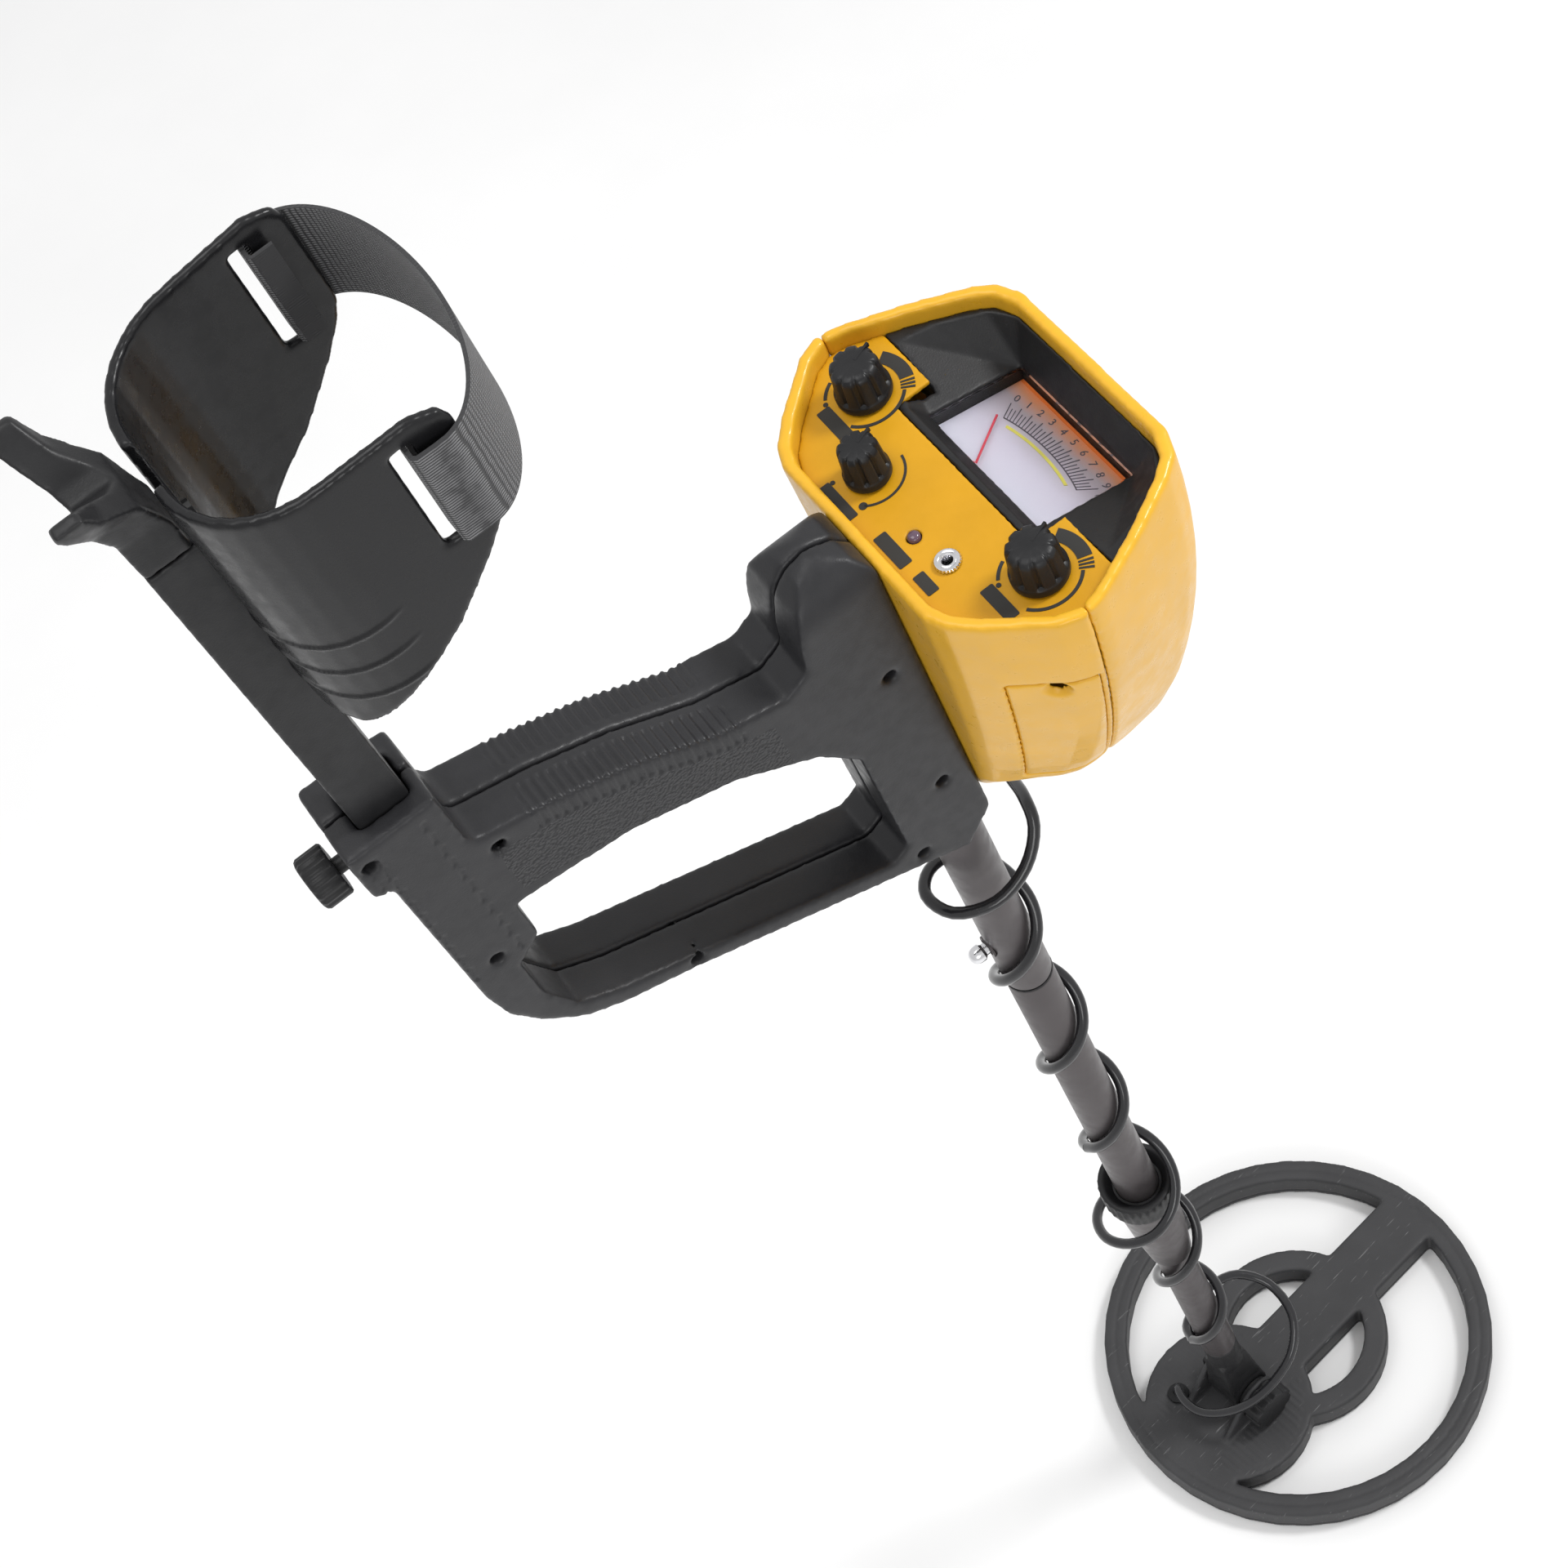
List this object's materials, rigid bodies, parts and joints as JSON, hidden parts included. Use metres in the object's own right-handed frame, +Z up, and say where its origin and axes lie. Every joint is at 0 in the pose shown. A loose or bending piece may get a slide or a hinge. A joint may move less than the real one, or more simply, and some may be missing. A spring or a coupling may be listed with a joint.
{
  "type": "metal detector",
  "caption": "Hand-held metal detector with a round open search coil, a telescoping shaft, a D-handle with an arm rest and a yellow control box with a needle meter.",
  "frame": {"origin": "middle of the hand grip, where the hand holds the detector", "axes": "+Z up with the search coil level, +X the way the coil points, +Y to the left; the shaft leans back from the coil"},
  "size_m": [0.4456, 0.21, 1.0569],
  "materials": {
    "handle_grey": "fine satin",
    "black_plastic": "satin",
    "gloss_black": "semi gloss",
    "black_webbing": "woven",
    "yellow_plastic": "satin gloss",
    "panel_yellow": "printed satin",
    "green_board": "matte",
    "black_rubber": "matte",
    "clear_window": "clear",
    "white_card": "matte",
    "red_needle": "satin",
    "lamp_lens": "clear",
    "chrome": "polished",
    "spring_steel": "rolled",
    "screw_steel": "plated",
    "tube_grey": "satin",
    "cable_black": "glossy",
    "coil_grey": "matte",
    "copper": "enamelled"
  },
  "bodies": {
    "handle_frame": {"meter_window": "clear_window", "meter_case": "black_plastic", "meter_dial": "white_card", "upper_tube": "tube_grey", "middle_tube": "tube_grey", "joint_ring": "black_rubber", "snap_spring": "spring_steel", "handle_shell_right": "handle_grey", "handle_shell_left": "handle_grey", "handle_screw_1": "screw_steel", "handle_screw_2": "screw_steel", "handle_screw_3": "screw_steel", "handle_screw_4": "screw_steel", "handle_screw_5": "screw_steel", "handle_screw_6": "screw_steel", "handle_screw_7": "screw_steel", "housing_lower_shell": "yellow_plastic", "housing_upper_shell": "yellow_plastic", "battery_right": "green_board", "battery_left": "green_board", "speaker": "black_plastic", "cable_gland": "black_rubber", "face_panel": "panel_yellow", "meter_hood": "black_plastic", "control_board": "green_board", "battery_lamp": "lamp_lens", "headphone_jack": "chrome", "lock_collar": "black_plastic", "lock_collet": "black_plastic", "cable_upper": "cable_black", "cable_lower": "cable_black"},
    "disc_knob": {"disc_knob": "black_plastic"},
    "volume_knob": {"volume_knob": "black_plastic"},
    "power_knob": {"power_knob": "black_plastic"},
    "needle": {"meter_needle": "red_needle"},
    "arm_rest": {"arm_stem": "black_plastic", "arm_cuff": "gloss_black", "cuff_screw_1": "screw_steel", "cuff_screw_2": "screw_steel", "rear_foot": "black_plastic", "arm_strap": "black_webbing"},
    "clamp_knob": {"stem_clamp_knob": "black_plastic"},
    "snap_button": {"snap_button": "chrome"},
    "lock_nut": {"lock_nut": "tube_grey"},
    "lower_shaft": {"lower_tube": "tube_grey", "yoke_stem": "black_plastic", "cable_loop": "cable_black"},
    "coil": {"coil_housing": "coil_grey", "coil_base_cover": "coil_grey", "transmit_winding": "copper", "receive_winding": "copper", "coil_grommet": "black_rubber", "hinge_washer_left": "black_rubber", "hinge_washer_right": "black_rubber", "hinge_bolt": "black_plastic"},
    "hinge_knob": {"hinge_knob": "black_plastic"},
    "battery_door_right": {"battery_door_right": "yellow_plastic"},
    "battery_door_left": {"battery_door_left": "yellow_plastic"}
  },
  "joints": [
    {"name": "disc_turn", "type": "hinge", "parent": "handle_frame", "child": "disc_knob", "pos_m": [0.14591, 0.02476, 0.02266], "axis": [-0.1132, 0, 0.9936], "range_deg": [-140, 140]},
    {"name": "volume_turn", "type": "hinge", "parent": "handle_frame", "child": "volume_knob", "pos_m": [0.12347, 0.00031, 0.02011], "axis": [-0.1132, 0, 0.9936], "range_deg": [-140, 140]},
    {"name": "power_turn", "type": "hinge", "parent": "handle_frame", "child": "power_knob", "pos_m": [0.12866, -0.07372, 0.0207], "axis": [-0.1132, 0, 0.9936], "range_deg": [-140, 140]},
    {"name": "needle_swing", "type": "hinge", "parent": "handle_frame", "child": "needle", "pos_m": [0.14063, -0.02489, 0.0125], "axis": [0.1132, -0.0397, 0.9928], "range_deg": [-79, 0], "stiffness_Nm_per_rad": 0.0002},
    {"name": "arm_rest_slide", "type": "slide", "parent": "handle_frame", "child": "arm_rest", "axis": [-0.1132, 0, 0.9936], "range_m": [-0.01, 0.04]},
    {"name": "clamp_turn", "type": "hinge", "parent": "handle_frame", "child": "clamp_knob", "pos_m": [-0.09737, 0.0165, 0.02816], "axis": [-0.9785, 0.1736, -0.1115], "range_deg": [0, 360]},
    {"name": "button_press", "type": "slide", "parent": "handle_frame", "child": "snap_button", "axis": [0.9785, -0.1736, 0.1115], "range_m": [0, 0.0085], "stiffness_N_per_m": 900, "deforming": ["snap_spring"]},
    {"name": "lock_turn", "type": "hinge", "parent": "handle_frame", "child": "lock_nut", "pos_m": [0.1518, -0.01563, -0.54935], "axis": [-0.1132, 0, 0.9936], "range_deg": [-90, 0]},
    {"name": "lower_shaft_slide", "type": "slide", "parent": "handle_frame", "child": "lower_shaft", "axis": [-0.1132, 0, 0.9936], "range_m": [-0.11, 0.075], "deforming": ["cable_lower"]},
    {"name": "coil_tilt", "type": "hinge", "parent": "lower_shaft", "child": "coil", "pos_m": [0.17897, -0.01563, -0.7878], "axis": [0, 1, 0], "range_deg": [-75, 60], "deforming": ["cable_loop"]},
    {"name": "hinge_knob_turn", "type": "hinge", "parent": "coil", "child": "hinge_knob", "pos_m": [0.17897, -0.03563, -0.7878], "axis": [0, -1, 0], "range_deg": [0, 360]},
    {"name": "battery_door_right_pull", "type": "slide", "parent": "handle_frame", "child": "battery_door_right", "axis": [-0.1725, -0.9848, -0.0197], "range_m": [0, 0.03]},
    {"name": "battery_door_left_pull", "type": "slide", "parent": "handle_frame", "child": "battery_door_left", "axis": [0.1725, 0.9848, 0.0197], "range_m": [0, 0.03]}
  ]
}
